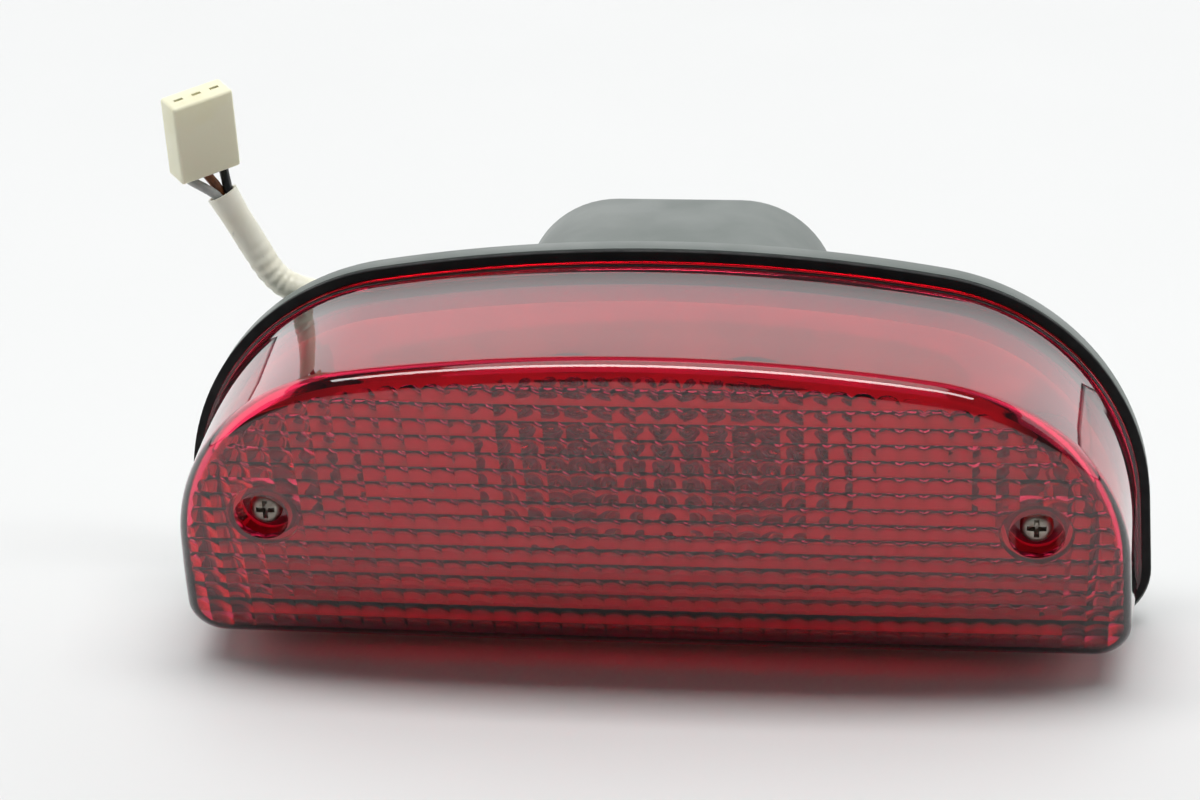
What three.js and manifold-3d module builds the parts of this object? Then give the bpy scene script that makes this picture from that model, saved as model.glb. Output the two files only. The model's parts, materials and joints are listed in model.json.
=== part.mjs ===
// Motorcycle tail light: a deep red lens screwed onto a grey housing, with two bayonet bulbs behind it.
// Millimetres, +Z up. The light shines along -Y. The origin is the centre of the lamp's footprint,
// so the housing's rim and its rear pod stand on Z = 0.
import * as THREE from "three";
import { mergeVertices } from "three/addons/utils/BufferGeometryUtils.js";
import Module from "manifold-3d";

const wasm = await Module();
wasm.setup();

const degrees = THREE.MathUtils.degToRad;
const GAP = 0.3; // clearance between two pieces that touch

// Lens outline as seen from the front: a flat arch, round shoulders, leaning sides and a straight bottom.
const LENS_BOTTOM = 5.6;
const LENS_TOP = 85.3;
const ARCH_RADIUS = 380;
const SHOULDER_RADIUS = 51;
const CORNER_RADIUS = 9;
const SHOULDER_START = degrees(9.5); // direction of the outline's normal, from +Z towards +X
const SHOULDER_END = degrees(87);

// Lens, gasket and housing rim, front to back.
const DEPTH = 110; // whole lamp, from the face's top edge to the pod's back
const FACE_TOP_Y = -DEPTH / 2;
const FACE_RAKE = degrees(18); // the face leans forward over its bottom edge
const LENS_WALL = 2.5;
const LENS_FLARE = { front: -1, back: 1.4 }; // the sides widen towards the flange
const LENS_FLANGE = { reach: 2.1, front: -1.8, back: 0 };
const GASKET = { reach: 4.2, inner: -2, front: GAP, back: 1.5 };
const RIM = { reach: 4.4, front: 1.8, back: 4.6, lipBack: 6.8, lipWall: 2 };
const BOWL = { outer: -2.5, inner: -5.5, back: 12, floor: 9.3 };

// Rear pod: a rounded box that covers the bulb sockets.
const POD = { halfWidth: 37.5, top: 84.2, topRadius: 23, bottomRadius: 14, wall: 2.7 };
const POD_BACK = DEPTH / 2;
const POD_FLOOR = POD_BACK - POD.wall;

// Lens screws: sunk pan heads, each in a pillar that stands up from the housing.
const SCREW_X = 83.85;
const SCREW_Z = 41.35;
const SCREW = { headRadius: 3.6, headFront: -36.2, headBack: -33.8, shankRadius: 2, tip: -14 };
const HEAD_WELL_RADIUS = 6;
const HEAD_WELL_FLOOR = -32.4;
const LENS_BOSS_RADIUS = 8;
const LENS_BOSS_BACK = -29.5;
const PILLAR = { radius: 6.5, front: LENS_BOSS_BACK + GAP };
const INSERT = { radius: 2.8, bore: 2.3, front: PILLAR.front + GAP, length: 10 };
const SEAL_RADIUS = 3.3;
const RECESS = { length: 4.2, width: 1.1, depth: 1.6 };

// Reflector: a tray with a funnel round each bulb, resting on four posts.
const REFLECTOR = {
  reach: -6, wall: 1.2, front: -9, plate: 1, back: 2.5, mouth: 17, throat: 9.5, throatBack: 15,
};
// The reflector's floor runs forward inside the lens and keeps its light off the ground.
const SHELF = { halfWidth: 90, bottom: 9.8, top: 11.8, front: -20.2, back: 1 };
const POST = { radius: 2.5, x: 46, heights: [20, 68] };

// Bulbs and their sockets, along Y.
const SIDES = { left: -1, right: 1 };
const BULB_X = 20;
const BULB_Z = 43;
const GLASS = { radius: 12.5, centre: -7, wall: 0.8, neckRadius: 6.4, end: 20 };
const BASE = { radius: 7.5, bore: 6.8, front: 13.5, back: 31, floor: 21 };
const PIN = { radius: 1, reach: 8.9, rear: 22, front: 19 };
const STEM = { radius: 3, front: 6 };
const SUPPORT = { radius: 0.5, tips: [[-1.5, -9, -2.4], [0, -5, 0], [1.5, -9, 2.4]] }; // from the bulb's axis
const FILAMENT = { radius: 0.7, length: 6.4, lean: degrees(32), depths: [-8.6, -4.6] };
const BULB_TURN = degrees(15);
const PUSH_TRAVEL = 2.5;
const SOCKET = {
  bore: 7.9, radius: 8.6, front: 15.5, back: 46, floor: 45.3, hole: 4, lip: 11, lipFront: 42.2,
};
const COLLAR = { bore: 9.2, radius: 11.2, front: 43.5, notchHalfHeight: 5 };
const PLATE = { radius: 7.5, front: 33.8, back: 35.8 };
const CONTACT = { radius: 1.5, front: 33.5, back: 37.4, offset: 3.2 };
const TIP = { disc: 6, thickness: 0.7, pip: 1.6 };
const SPRING = { radius: 6, wire: 0.5, turns: 4, front: 36.7, back: 44.4 };
const CAP = { radius: 8.4, front: 46.3, back: 48.3 };

// Mounting studs through bosses on the housing's back wall.
const STUD_X = 62;
const STUD_Z = 45;
const STUD = { radius: 3, tip: 38, headAcross: 10, headFront: 5.3, headBack: 9 };
const STUD_BOSS = { radius: 9, back: 17 };
const BRACKET_ROOM = 3.3; // free space for the bracket, between a boss and its washer
const WASHER = { radius: 8, bore: 3.3, front: STUD_BOSS.back + BRACKET_ROOM, thickness: 1.5 };
const NUT = { across: 10, bore: 3.3, front: WASHER.front + WASHER.thickness + GAP, height: 5 };
const RIB = { inner: 37, outer: 55, halfHeight: 1, back: 16.5 }; // from the pod's wall to a boss

// Lead: a sleeve over three wires, from a grommet in the pod's left wall to a three-way connector.
const GROMMET = { y: 32, z: 56, bore: 3.9, neck: 4.9, lip: 7, innerLip: 6, innerLength: 2, outside: -40.3 };
const SLEEVE_RADIUS = 3.4;
const WIRE_RADIUS = 1.1;
const INNER_WIRE_RADIUS = 0.9;
const WIRE_NAMES = ["grey", "brown", "black"];
const INNER_PITCH = 3; // between the wires behind the sockets
const EXIT_PITCH = 2.45; // between the wires in the grommet
const BRIDGE = { y: 50, from: -18, to: 22 };
const SLEEVE_ROUTE = [
  [-40.6, 32, 56], [-45.5, 32, 56.3], [-50.5, 31.3, 57.2], [-55.5, 29.8, 58.7], [-60.5, 27.6, 60.8],
  [-65.5, 25, 63.3], [-70.5, 22.3, 66], [-75.5, 19.8, 68.7], [-80.2, 18, 71], [-84.8, 17, 72.6],
  [-88.7, 16.8, 74.5], [-91.6, 16.8, 77.6], [-94.2, 17, 82], [-96.8, 17, 86.8], [-99.3, 17, 91.5],
  [-101.6, 17, 96],
];
const CONNECTOR = { width: 15.1, depth: 6.8, height: 20, pitch: 4.5, cavity: 3.2, roof: 2, slot: [2.2, 0.9] };
const TERMINAL = { width: 2.4, depth: 1.8, length: 11, inset: 1 };
const LEAD_SPREAD = 1.9; // between the wires in the sleeve's open end
const CONNECTOR_PLACE = new THREE.Vector3(-105.1, 17, 101.7);
const CONNECTOR_TURN = new THREE.Euler(degrees(11), degrees(-7.5), degrees(41), "ZXY");

const FINISH = {
  lens: { color: 0xb01022, roughness: 0.12, metalness: 0, transparent: true, opacity: 0.75 },
  rubber: { color: 0x141416, roughness: 0.8, metalness: 0 },
  housing: { color: 0x7f8883, roughness: 0.6, metalness: 0 },
  reflector: { color: 0xd9dadd, roughness: 0.12, metalness: 1 },
  steel: { color: 0x8b8680, roughness: 0.45, metalness: 1 },
  brass: { color: 0xb9984c, roughness: 0.35, metalness: 1 },
  glass: { color: 0xf4f6f7, roughness: 0.05, metalness: 0, transparent: true, opacity: 0.35 },
  tungsten: { color: 0x77777b, roughness: 0.5, metalness: 1 },
  phenolic: { color: 0x5a3522, roughness: 0.6, metalness: 0 },
  sleeve: { color: 0xe6e0cc, roughness: 0.45, metalness: 0 },
  nylon: { color: 0xe4ddba, roughness: 0.4, metalness: 0 },
  grey: { color: 0x9b9c98, roughness: 0.5, metalness: 0 },
  brown: { color: 0x5d2c17, roughness: 0.5, metalness: 0 },
  black: { color: 0x19191a, roughness: 0.5, metalness: 0 },
};

const tailLight = new THREE.Group();

// ---- solids -------------------------------------------------------------------------------------

// A three.js geometry as a closed solid: its shared corners are merged and its empty triangles dropped.
function solid(geometry) {
  const bare = new THREE.BufferGeometry();
  bare.setAttribute("position", geometry.getAttribute("position"));
  if (geometry.index) bare.setIndex(geometry.index);
  const merged = mergeVertices(bare, 1e-4);
  const corners = merged.index.array;
  const kept = [];
  for (let i = 0; i < corners.length; i += 3) {
    const [a, b, c] = [corners[i], corners[i + 1], corners[i + 2]];
    if (a !== b && b !== c && c !== a) kept.push(a, b, c);
  }
  const vertProperties = new Float32Array(merged.attributes.position.array);
  const triVerts = new Uint32Array(kept);
  return new wasm.Manifold(new wasm.Mesh({ numProp: 3, vertProperties, triVerts }));
}

function join(...pieces) {
  return pieces.reduce((whole, piece) => whole.add(piece));
}

function cut(body, ...tools) {
  return tools.reduce((left, tool) => left.subtract(tool), body);
}

function add(name, shape, finish) {
  const { vertProperties, triVerts } = shape.getMesh();
  const geometry = new THREE.BufferGeometry();
  geometry.setAttribute("position", new THREE.BufferAttribute(vertProperties, 3));
  geometry.setIndex(new THREE.BufferAttribute(triVerts, 1));
  geometry.computeVertexNormals();
  const mesh = new THREE.Mesh(geometry, new THREE.MeshStandardMaterial(FINISH[finish]));
  mesh.name = name;
  tailLight.add(mesh);
}

// A flat outline in X and Z, thickened from yFront to yBack. Outlines and holes both run clockwise.
function slab(outer, yFront, yBack, ...holes) {
  const shape = new THREE.Shape(outer);
  shape.holes = holes.map((points) => new THREE.Path(points.toReversed()));
  const geometry = new THREE.ExtrudeGeometry(shape, { depth: yBack - yFront, bevelEnabled: false });
  return solid(geometry.rotateX(Math.PI / 2).translate(0, yBack, 0));
}

// The space between two outlines that have the same number of points.
function tapered(frontOutline, backOutline, yFront, yBack) {
  const count = frontOutline.length;
  const corners = [
    ...frontOutline.flatMap(({ x, y: z }) => [x, yFront, z]),
    ...backOutline.flatMap(({ x, y: z }) => [x, yBack, z]),
  ];
  const index = [];
  for (const [a, b, c] of THREE.ShapeUtils.triangulateShape(frontOutline, [])) {
    index.push(a, b, c, count + a, count + c, count + b);
  }
  for (let i = 0; i < count; i++) {
    const next = (i + 1) % count;
    index.push(i, next, count + i, next, count + next, count + i);
  }
  const geometry = new THREE.BufferGeometry();
  geometry.setAttribute("position", new THREE.Float32BufferAttribute(corners, 3));
  return solid(geometry.setIndex(index));
}

function rod(radius, x, z, yFront, yBack, sides = 16) {
  const geometry = new THREE.CylinderGeometry(radius, radius, yBack - yFront, sides);
  return solid(geometry.translate(x, (yFront + yBack) / 2, z));
}

function ring(radius, bore, x, z, yFront, yBack, sides = 16) {
  return cut(rod(radius, x, z, yFront, yBack, sides), rod(bore, x, z, yFront - 1, yBack + 1, sides));
}

function box([x0, x1], [y0, y1], [z0, z1]) {
  const geometry = new THREE.BoxGeometry(x1 - x0, y1 - y0, z1 - z0);
  return solid(geometry.translate((x0 + x1) / 2, (y0 + y1) / 2, (z0 + z1) / 2));
}

// A profile of [radius, y] points, front to back on its outside, turned about a line along Y through x and z.
function turned(profile, x, z, sides = 16) {
  const points = profile.map(([radius, y]) => new THREE.Vector2(radius, y));
  return solid(new THREE.LatheGeometry(points, sides).translate(x, 0, z));
}

function tube(points, radius, steps, sides = 8) {
  const section = new THREE.Shape();
  section.absarc(0, 0, radius, 0, 2 * Math.PI);
  const outline = section.getSpacedPoints(sides).slice(0, sides);
  const extrudePath = new THREE.CatmullRomCurve3(points.map((p) => new THREE.Vector3(...p)));
  return solid(new THREE.ExtrudeGeometry(new THREE.Shape(outline), { steps, extrudePath }));
}

// ---- outlines -----------------------------------------------------------------------------------

// The point at a radius from a centre, in the direction that an outline's normal points.
function around([x, z], angle, radius) {
  return [x + radius * Math.sin(angle), z + radius * Math.cos(angle)];
}

function arc(centre, radius, from, to, steps) {
  const step = (to - from) / steps;
  return Array.from({ length: steps + 1 }, (_, i) => around(centre, from + step * i, radius));
}

// Two limits on one side of the lamp, in rising order.
function limits(side, ...values) {
  return values.map((value) => side * value).sort((a, b) => a - b);
}

// Turns the right half of an outline, from its top to its bottom, into the whole loop.
function mirrored(half) {
  const left = half.filter(([x]) => x > 1e-6).map(([x, z]) => [-x, z]).reverse();
  return [...half, ...left].map(([x, z]) => new THREE.Vector2(x, z));
}

function lensOutline(offset) {
  const arch = [0, LENS_TOP - ARCH_RADIUS];
  const shoulder = around(arch, SHOULDER_START, ARCH_RADIUS - SHOULDER_RADIUS);
  const [sideX, sideZ] = around(shoulder, SHOULDER_END, SHOULDER_RADIUS - CORNER_RADIUS);
  const cornerZ = LENS_BOTTOM + CORNER_RADIUS;
  const corner = [sideX + (sideZ - cornerZ) / Math.tan(SHOULDER_END), cornerZ];
  return mirrored([
    ...arc(arch, ARCH_RADIUS + offset, 0, SHOULDER_START, 4),
    ...arc(shoulder, SHOULDER_RADIUS + offset, SHOULDER_START, SHOULDER_END, 10).slice(1),
    ...arc(corner, CORNER_RADIUS + offset, SHOULDER_END, Math.PI, 5),
  ]);
}

function podOutline(offset) {
  const { halfWidth, top, topRadius, bottomRadius } = POD;
  const upper = [halfWidth - topRadius, top - topRadius];
  const lower = [halfWidth - bottomRadius, bottomRadius];
  return mirrored([
    ...arc(upper, topRadius + offset, 0, Math.PI / 2, 6),
    ...arc(lower, bottomRadius + offset, Math.PI / 2, Math.PI, 5),
  ]);
}

// Everything behind the lens face, or behind a surface that lies deeper than the face.
function behindFace(depth) {
  const block = new THREE.BoxGeometry(400, 200, 400).translate(0, 100 + depth, 0);
  return solid(block.rotateX(FACE_RAKE).translate(0, FACE_TOP_Y, LENS_TOP));
}

// ---- lens, gasket and housing -------------------------------------------------------------------

function makeLens() {
  const flared = (inset, yBack) => {
    const [front, back] = [LENS_FLARE.front - inset, LENS_FLARE.back - inset].map(lensOutline);
    return tapered(front, back, FACE_TOP_Y, yBack).intersect(behindFace(inset));
  };
  const block = flared(0, 0);
  const { reach, front, back } = LENS_FLANGE;
  const flange = slab(lensOutline(reach), front, back, lensOutline(LENS_FLARE.back - LENS_WALL / 2));
  let lens = join(cut(block, flared(LENS_WALL, 0.1)), flange);
  for (const x of [-SCREW_X, SCREW_X]) {
    const boss = rod(LENS_BOSS_RADIUS, x, SCREW_Z, FACE_TOP_Y, LENS_BOSS_BACK).intersect(block);
    const well = rod(HEAD_WELL_RADIUS, x, SCREW_Z, FACE_TOP_Y, HEAD_WELL_FLOOR);
    const hole = rod(SCREW.shankRadius + GAP, x, SCREW_Z, FACE_TOP_Y, 0);
    lens = cut(join(lens, boss), well, hole);
  }
  add("lens", lens, "lens");
}

function makeGasket() {
  const { reach, inner, front, back } = GASKET;
  add("lens_gasket", slab(lensOutline(reach), front, back, lensOutline(inner)), "rubber");
}

function podShell() {
  const walls = slab(podOutline(0), BOWL.back - 1, POD_BACK, podOutline(-POD.wall));
  const back = slab(podOutline(0), POD_FLOOR, POD_BACK);
  const mouth = slab(podOutline(-POD.wall), 0, POD_FLOOR);
  const bowlInside = slab(lensOutline(BOWL.inner), 0, BOWL.back);
  const plate = slab(lensOutline(BOWL.outer), BOWL.floor, BOWL.back);
  const podFront = slab(podOutline(0), BOWL.floor, BOWL.back);
  return join(cut(join(plate, podFront), mouth.intersect(bowlInside)), walls, back);
}

function socketCollar(x) {
  const { radius, bore, front, notchHalfHeight } = COLLAR;
  const notchZ = [BULB_Z - notchHalfHeight, BULB_Z + notchHalfHeight];
  const notch = box([x - radius - 1, x + radius + 1], [CAP.front, POD_FLOOR], notchZ);
  return cut(ring(radius, bore, x, BULB_Z, front, POD_FLOOR + 1), notch);
}

// A pillar for a lens screw, bored for the screw and for the insert that it turns into.
function screwPillar(x) {
  const front = PILLAR.front - 1;
  const insertHole = rod(INSERT.radius + GAP, x, SCREW_Z, front, INSERT.front + INSERT.length + GAP);
  const screwHole = rod(SCREW.shankRadius + GAP, x, SCREW_Z, front, SCREW.tip + 2);
  return cut(rod(PILLAR.radius, x, SCREW_Z, PILLAR.front, BOWL.floor + 1), insertHole, screwHole);
}

// A boss for a mounting stud and the rib that ties it to the pod.
function studBoss(side) {
  const boss = rod(STUD_BOSS.radius, side * STUD_X, STUD_Z, BOWL.back - 1, STUD_BOSS.back);
  const heights = [STUD_Z - RIB.halfHeight, STUD_Z + RIB.halfHeight];
  return join(boss, box(limits(side, RIB.inner, RIB.outer), [BOWL.back - 1, RIB.back], heights));
}

// The rim's outline is stretched down to the ground from its top.
function rimOutline(reach) {
  const top = LENS_TOP + RIM.reach;
  const stretch = top / (top - LENS_BOTTOM + RIM.reach);
  return lensOutline(reach).map(({ x, y: z }) => new THREE.Vector2(x, top - (top - z) * stretch));
}

function makeHousing() {
  const plate = slab(rimOutline(RIM.reach), RIM.front, RIM.back, lensOutline(BOWL.inner));
  const lip = slab(rimOutline(RIM.reach), RIM.front, RIM.lipBack, rimOutline(RIM.reach - RIM.lipWall));
  const bowl = slab(lensOutline(BOWL.outer), RIM.front, BOWL.back, lensOutline(BOWL.inner));
  let housing = join(plate, lip, bowl, podShell());
  for (const side of [-1, 1]) {
    const posts = POST.heights.map((z) => {
      return rod(POST.radius, side * POST.x, z, REFLECTOR.back + GAP, BOWL.floor + 1, 12);
    });
    const fittings = [screwPillar(side * SCREW_X), studBoss(side), socketCollar(side * BULB_X)];
    housing = join(housing, ...fittings, ...posts);
    housing = cut(housing, rod(STUD.radius + GAP, side * STUD_X, STUD_Z, 0, STUD_BOSS.back + 1));
  }
  const exitRadius = GROMMET.neck + GAP;
  const leadExit = new THREE.CylinderGeometry(exitRadius, exitRadius, 4 * POD.wall, 20).rotateZ(Math.PI / 2);
  const placed = solid(leadExit.translate(-POD.halfWidth, GROMMET.y, GROMMET.z));
  add("housing", cut(housing, placed), "housing");
}

function makeReflector() {
  const { reach, wall, front, plate, back, mouth, throat, throatBack } = REFLECTOR;
  const tray = slab(lensOutline(reach), plate, back);
  const edge = slab(lensOutline(reach), front, back, lensOutline(reach - wall));
  const cone = [[0, plate], [mouth + wall, plate], [throat + wall, throatBack], [0, throatBack]];
  const funnel = [[0, plate - 1], [mouth, plate - 1], [mouth, plate], [throat, throatBack]];
  const inside = [...funnel, [throat, throatBack + 1], [0, throatBack + 1]];
  const { halfWidth } = SHELF;
  const shelf = box([-halfWidth, halfWidth], [SHELF.front, SHELF.back], [SHELF.bottom, SHELF.top]);
  let reflector = join(tray, edge, shelf);
  for (const side of [-1, 1]) {
    const pillarHole = rod(PILLAR.radius + 2 * GAP, side * SCREW_X, SCREW_Z, front - 1, back + 1);
    reflector = cut(join(reflector, turned(cone, side * BULB_X, BULB_Z)), pillarHole);
  }
  for (const side of [-1, 1]) reflector = cut(reflector, turned(inside, side * BULB_X, BULB_Z));
  add("reflector", reflector, "reflector");
}

// ---- fasteners ----------------------------------------------------------------------------------

function makeLensScrew(name, x) {
  const { headRadius, headFront, headBack, shankRadius, tip } = SCREW;
  const recess = [0, Math.PI / 2].map((turn) => {
    const arm = new THREE.BoxGeometry(RECESS.length, RECESS.depth, RECESS.width).rotateY(turn);
    return solid(arm.translate(x, headFront + RECESS.depth / 2, SCREW_Z));
  });
  const rounded = [[0, headFront], [headRadius - 0.9, headFront], [headRadius, headFront + 1]];
  const crown = turned([...rounded, [headRadius, headBack], [0, headBack]], x, SCREW_Z);
  const shank = rod(shankRadius, x, SCREW_Z, headBack - 0.5, tip);
  add(`lens_screw_${name}`, cut(join(crown, shank), ...recess), "steel");

  const seal = ring(SEAL_RADIUS, shankRadius + GAP, x, SCREW_Z, headBack + GAP, HEAD_WELL_FLOOR - GAP, 20);
  add(`screw_seal_${name}`, seal, "rubber");
  const insert = ring(INSERT.radius, INSERT.bore, x, SCREW_Z, INSERT.front, INSERT.front + INSERT.length, 20);
  add(`screw_insert_${name}`, insert, "brass");
}

function makeStud(name, x) {
  const shank = rod(STUD.radius, x, STUD_Z, STUD.headBack - 1, STUD.tip);
  const head = rod(STUD.headAcross / Math.sqrt(3), x, STUD_Z, STUD.headFront, STUD.headBack, 6);
  add(`mount_stud_${name}`, join(head, shank), "steel");
  const washer = ring(WASHER.radius, WASHER.bore, x, STUD_Z, WASHER.front, WASHER.front + WASHER.thickness);
  add(`stud_washer_${name}`, washer, "steel");
  const blank = rod(NUT.across / Math.sqrt(3), x, STUD_Z, NUT.front, NUT.front + NUT.height, 6);
  const bore = rod(NUT.bore, x, STUD_Z, NUT.front - 1, NUT.front + NUT.height + 1);
  add(`stud_nut_${name}`, cut(blank, bore), "steel");
}

// ---- bulbs and sockets --------------------------------------------------------------------------

function bulbGlass(x) {
  const { radius, centre, wall, neckRadius, end } = GLASS;
  const curve = (r, neck) => {
    const last = Math.PI - Math.asin(neck / r);
    const steps = Array.from({ length: 7 }, (_, i) => (last * i) / 6);
    return steps.map((a) => [r * Math.sin(a), centre - r * Math.cos(a)]);
  };
  const outer = [...curve(radius, neckRadius), [neckRadius, end]];
  const inner = [...curve(radius - wall, neckRadius - wall), [neckRadius - wall, end]];
  return turned([...outer, ...inner.reverse()], x, BULB_Z);
}

function bulbBase(x) {
  const { radius, bore, front, back, floor } = BASE;
  const hollow = [[0, floor], [bore, floor], [bore, front]];
  const cup = turned([...hollow, [radius, front], [radius, back], [0, back]], x, BULB_Z);
  const pins = [[1, PIN.rear], [-1, PIN.front]].map(([side, y]) => {
    const root = bore + 0.2;
    const pin = new THREE.CylinderGeometry(PIN.radius, PIN.radius, PIN.reach - root, 12).rotateZ(Math.PI / 2);
    return solid(pin.translate(x + (side * (PIN.reach + root)) / 2, y, BULB_Z));
  });
  return join(cup, ...pins);
}

function bulbFilaments(x) {
  const stem = rod(STEM.radius, x, BULB_Z, STEM.front, BASE.floor - GAP);
  const supports = SUPPORT.tips.map(([dx, y, dz]) => {
    return rod(SUPPORT.radius, x + dx, BULB_Z + dz, y, STEM.front + 1, 8);
  });
  const coils = FILAMENT.depths.map((y) => {
    const coil = new THREE.CylinderGeometry(FILAMENT.radius, FILAMENT.radius, FILAMENT.length, 8);
    return solid(coil.rotateX(Math.PI / 2).rotateY(FILAMENT.lean).translate(x, y, BULB_Z));
  });
  return join(stem, ...supports, ...coils);
}

function bulbContacts(x) {
  const discBack = BASE.back + GAP + TIP.thickness;
  const disc = rod(TIP.disc, x, BULB_Z, BASE.back + GAP, discBack, 20);
  const pips = [-1, 1].map((side) => {
    return rod(TIP.pip, x, BULB_Z + side * CONTACT.offset, discBack - 0.4, CONTACT.front - GAP, 12);
  });
  return join(disc, ...pips);
}

// The pins' windows are wide enough for the push and the turn; an open slot leads to each from the front.
function socketShell(x) {
  const { bore, radius, front, back, floor, hole, lip, lipFront } = SOCKET;
  let shell = join(ring(radius, bore, x, BULB_Z, front, back), ring(radius, hole, x, BULB_Z, floor, back));
  shell = join(shell, ring(lip, bore + 0.1, x, BULB_Z, lipFront, COLLAR.front - GAP));
  const clear = PIN.radius + GAP;
  const swing = PIN.reach * Math.sin(BULB_TURN);
  for (const [side, y] of [[1, PIN.rear], [-1, PIN.front]]) {
    const across = limits(side, bore - 2, radius + 1).map((dx) => x + dx);
    const window = limits(side, -clear, swing + clear).map((dz) => BULB_Z + dz);
    const slot = limits(side, swing - clear, swing + clear).map((dz) => BULB_Z + dz);
    const windowDepths = [y - clear, y + PUSH_TRAVEL + clear];
    shell = cut(shell, box(across, windowDepths, window), box(across, [front - 1, y], slot));
  }
  return shell;
}

function contactSpring(x) {
  const { radius, wire, turns, front, back } = SPRING;
  const steps = turns * 9;
  const points = Array.from({ length: steps + 1 }, (_, i) => {
    const angle = (2 * Math.PI * turns * i) / steps;
    const y = front + ((back - front) * i) / steps;
    return [x + radius * Math.cos(angle), y, BULB_Z + radius * Math.sin(angle)];
  });
  return tube(points, wire, steps, 5);
}

function makeBulb(name, x) {
  add(`bulb_glass_${name}`, bulbGlass(x), "glass");
  add(`bulb_base_${name}`, bulbBase(x), "brass");
  add(`bulb_filaments_${name}`, bulbFilaments(x), "tungsten");
  add(`bulb_contacts_${name}`, bulbContacts(x), "phenolic");
}

function makeSocket(name, x) {
  const pinHoles = [-1, 1].map((side) => {
    return rod(CONTACT.radius + GAP, x, BULB_Z + side * CONTACT.offset, PLATE.front - 1, PLATE.back + 1, 12);
  });
  const plate = cut(rod(PLATE.radius, x, BULB_Z, PLATE.front, PLATE.back), ...pinHoles);
  add(`socket_shell_${name}`, socketShell(x), "steel");
  add(`contact_plate_${name}`, plate, "phenolic");
  for (const [level, side] of [["upper", 1], ["lower", -1]]) {
    const pin = rod(CONTACT.radius, x, BULB_Z + side * CONTACT.offset, CONTACT.front, CONTACT.back, 12);
    add(`contact_${level}_${name}`, pin, "brass");
  }
  add(`contact_spring_${name}`, contactSpring(x), "steel");
  add(`socket_cap_${name}`, rod(CAP.radius, x, BULB_Z, CAP.front, CAP.back), "rubber");
}

// ---- wiring -------------------------------------------------------------------------------------

function makeGrommet() {
  const { y, z, bore, neck, lip, innerLip, innerLength, outside } = GROMMET;
  const wallOut = -POD.halfWidth - GAP;
  const wallIn = -POD.halfWidth + POD.wall + GAP;
  const outer = [[bore, outside], [lip, outside], [lip, wallOut], [neck, wallOut], [neck, wallIn]];
  const inner = [[innerLip, wallIn], [innerLip, wallIn + innerLength], [bore, wallIn + innerLength]];
  const loop = [...outer, ...inner, [bore, outside]].map(([r, x]) => new THREE.Vector2(r, -x)).reverse();
  const body = new THREE.LatheGeometry(loop, 20);
  add("lead_grommet", solid(body.rotateZ(Math.PI / 2).translate(0, y, z)), "rubber");
}

// Each wire runs from behind the sockets, down the inside of the pod's wall and out through the grommet.
function makeInnerWires() {
  WIRE_NAMES.forEach((name, i) => {
    const z = BULB_Z + (i - 1) * INNER_PITCH;
    const [endY, endZ] = [GROMMET.y, GROMMET.z + (i - 1) * EXIT_PITCH];
    const route = [
      [-22, BRIDGE.y, z], [-27, BRIDGE.y, z], [-31, 49.6, z], [-33, 47, z + 1], [-33, 43, z + 4],
      [-31.6, 38.5, z + 8.5], [-30.2, endY + 2.5, endZ - 0.8], [-31.6, endY + 0.3, endZ],
      [-34.5, endY, endZ], [GROMMET.outside + GAP, endY, endZ],
    ];
    add(`inner_wire_${name}`, tube(route, INNER_WIRE_RADIUS, 18, 6), name);
    const bridge = [[BRIDGE.from, BRIDGE.y, z], [BRIDGE.to, BRIDGE.y, z]];
    add(`bridge_wire_${name}`, tube(bridge, INNER_WIRE_RADIUS, 1, 6), name);
  });
}

function connectorMatrix() {
  return new THREE.Matrix4().makeRotationFromEuler(CONNECTOR_TURN).setPosition(CONNECTOR_PLACE);
}

// Three cavities from below, each with a slot through the roof and a terminal inside.
function makeConnector() {
  const { width, depth, height, pitch, cavity, roof, slot } = CONNECTOR;
  const block = (w, d, h, x, z) => {
    const geometry = new THREE.BoxGeometry(w, d, h).translate(x, 0, z + h / 2);
    return solid(geometry.applyMatrix4(connectorMatrix()));
  };
  let housing = block(width, depth, height, 0, 0);
  WIRE_NAMES.forEach((name, i) => {
    const x = (i - 1) * pitch;
    housing = cut(housing, block(cavity, cavity, height - roof + 1, x, -1), block(...slot, height, x, roof));
    const terminalZ = height - roof - TERMINAL.inset - TERMINAL.length;
    add(`terminal_${name}`, block(TERMINAL.width, TERMINAL.depth, TERMINAL.length, x, terminalZ), "brass");
  });
  add("connector_housing", housing, "nylon");
}

// From the sleeve's open end into each of the connector's cavities.
function makeLeadWires() {
  const end = new THREE.Vector3(...SLEEVE_ROUTE.at(-1));
  const along = end.clone().sub(new THREE.Vector3(...SLEEVE_ROUTE.at(-2))).normalize();
  WIRE_NAMES.forEach((name, i) => {
    const start = end.clone().addScaledVector(along, GAP);
    const spread = new THREE.Vector3(1, 0.9, 0).multiplyScalar((i - 1) * LEAD_SPREAD);
    start.add(spread.projectOnPlane(along));
    const lane = (i - 1) * CONNECTOR.pitch;
    const into = (depth) => new THREE.Vector3(lane, 0, depth).applyMatrix4(connectorMatrix());
    const points = [start, start.clone().addScaledVector(along, 1.5), into(-0.8), into(1), into(4)];
    add(`lead_wire_${name}`, tube(points.map((p) => p.toArray()), WIRE_RADIUS, 10), name);
  });
}

// ---- the lamp -----------------------------------------------------------------------------------

makeLens();
makeGasket();
makeHousing();
makeReflector();
for (const [name, side] of Object.entries(SIDES)) {
  makeLensScrew(name, side * SCREW_X);
  makeStud(name, side * STUD_X);
  makeBulb(name, side * BULB_X);
  makeSocket(name, side * BULB_X);
}
makeGrommet();
makeInnerWires();
makeConnector();
makeLeadWires();
add("lead_sleeve", tube(SLEEVE_ROUTE, SLEEVE_RADIUS, 20, 10), "sleeve");

export default tailLight;
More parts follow.
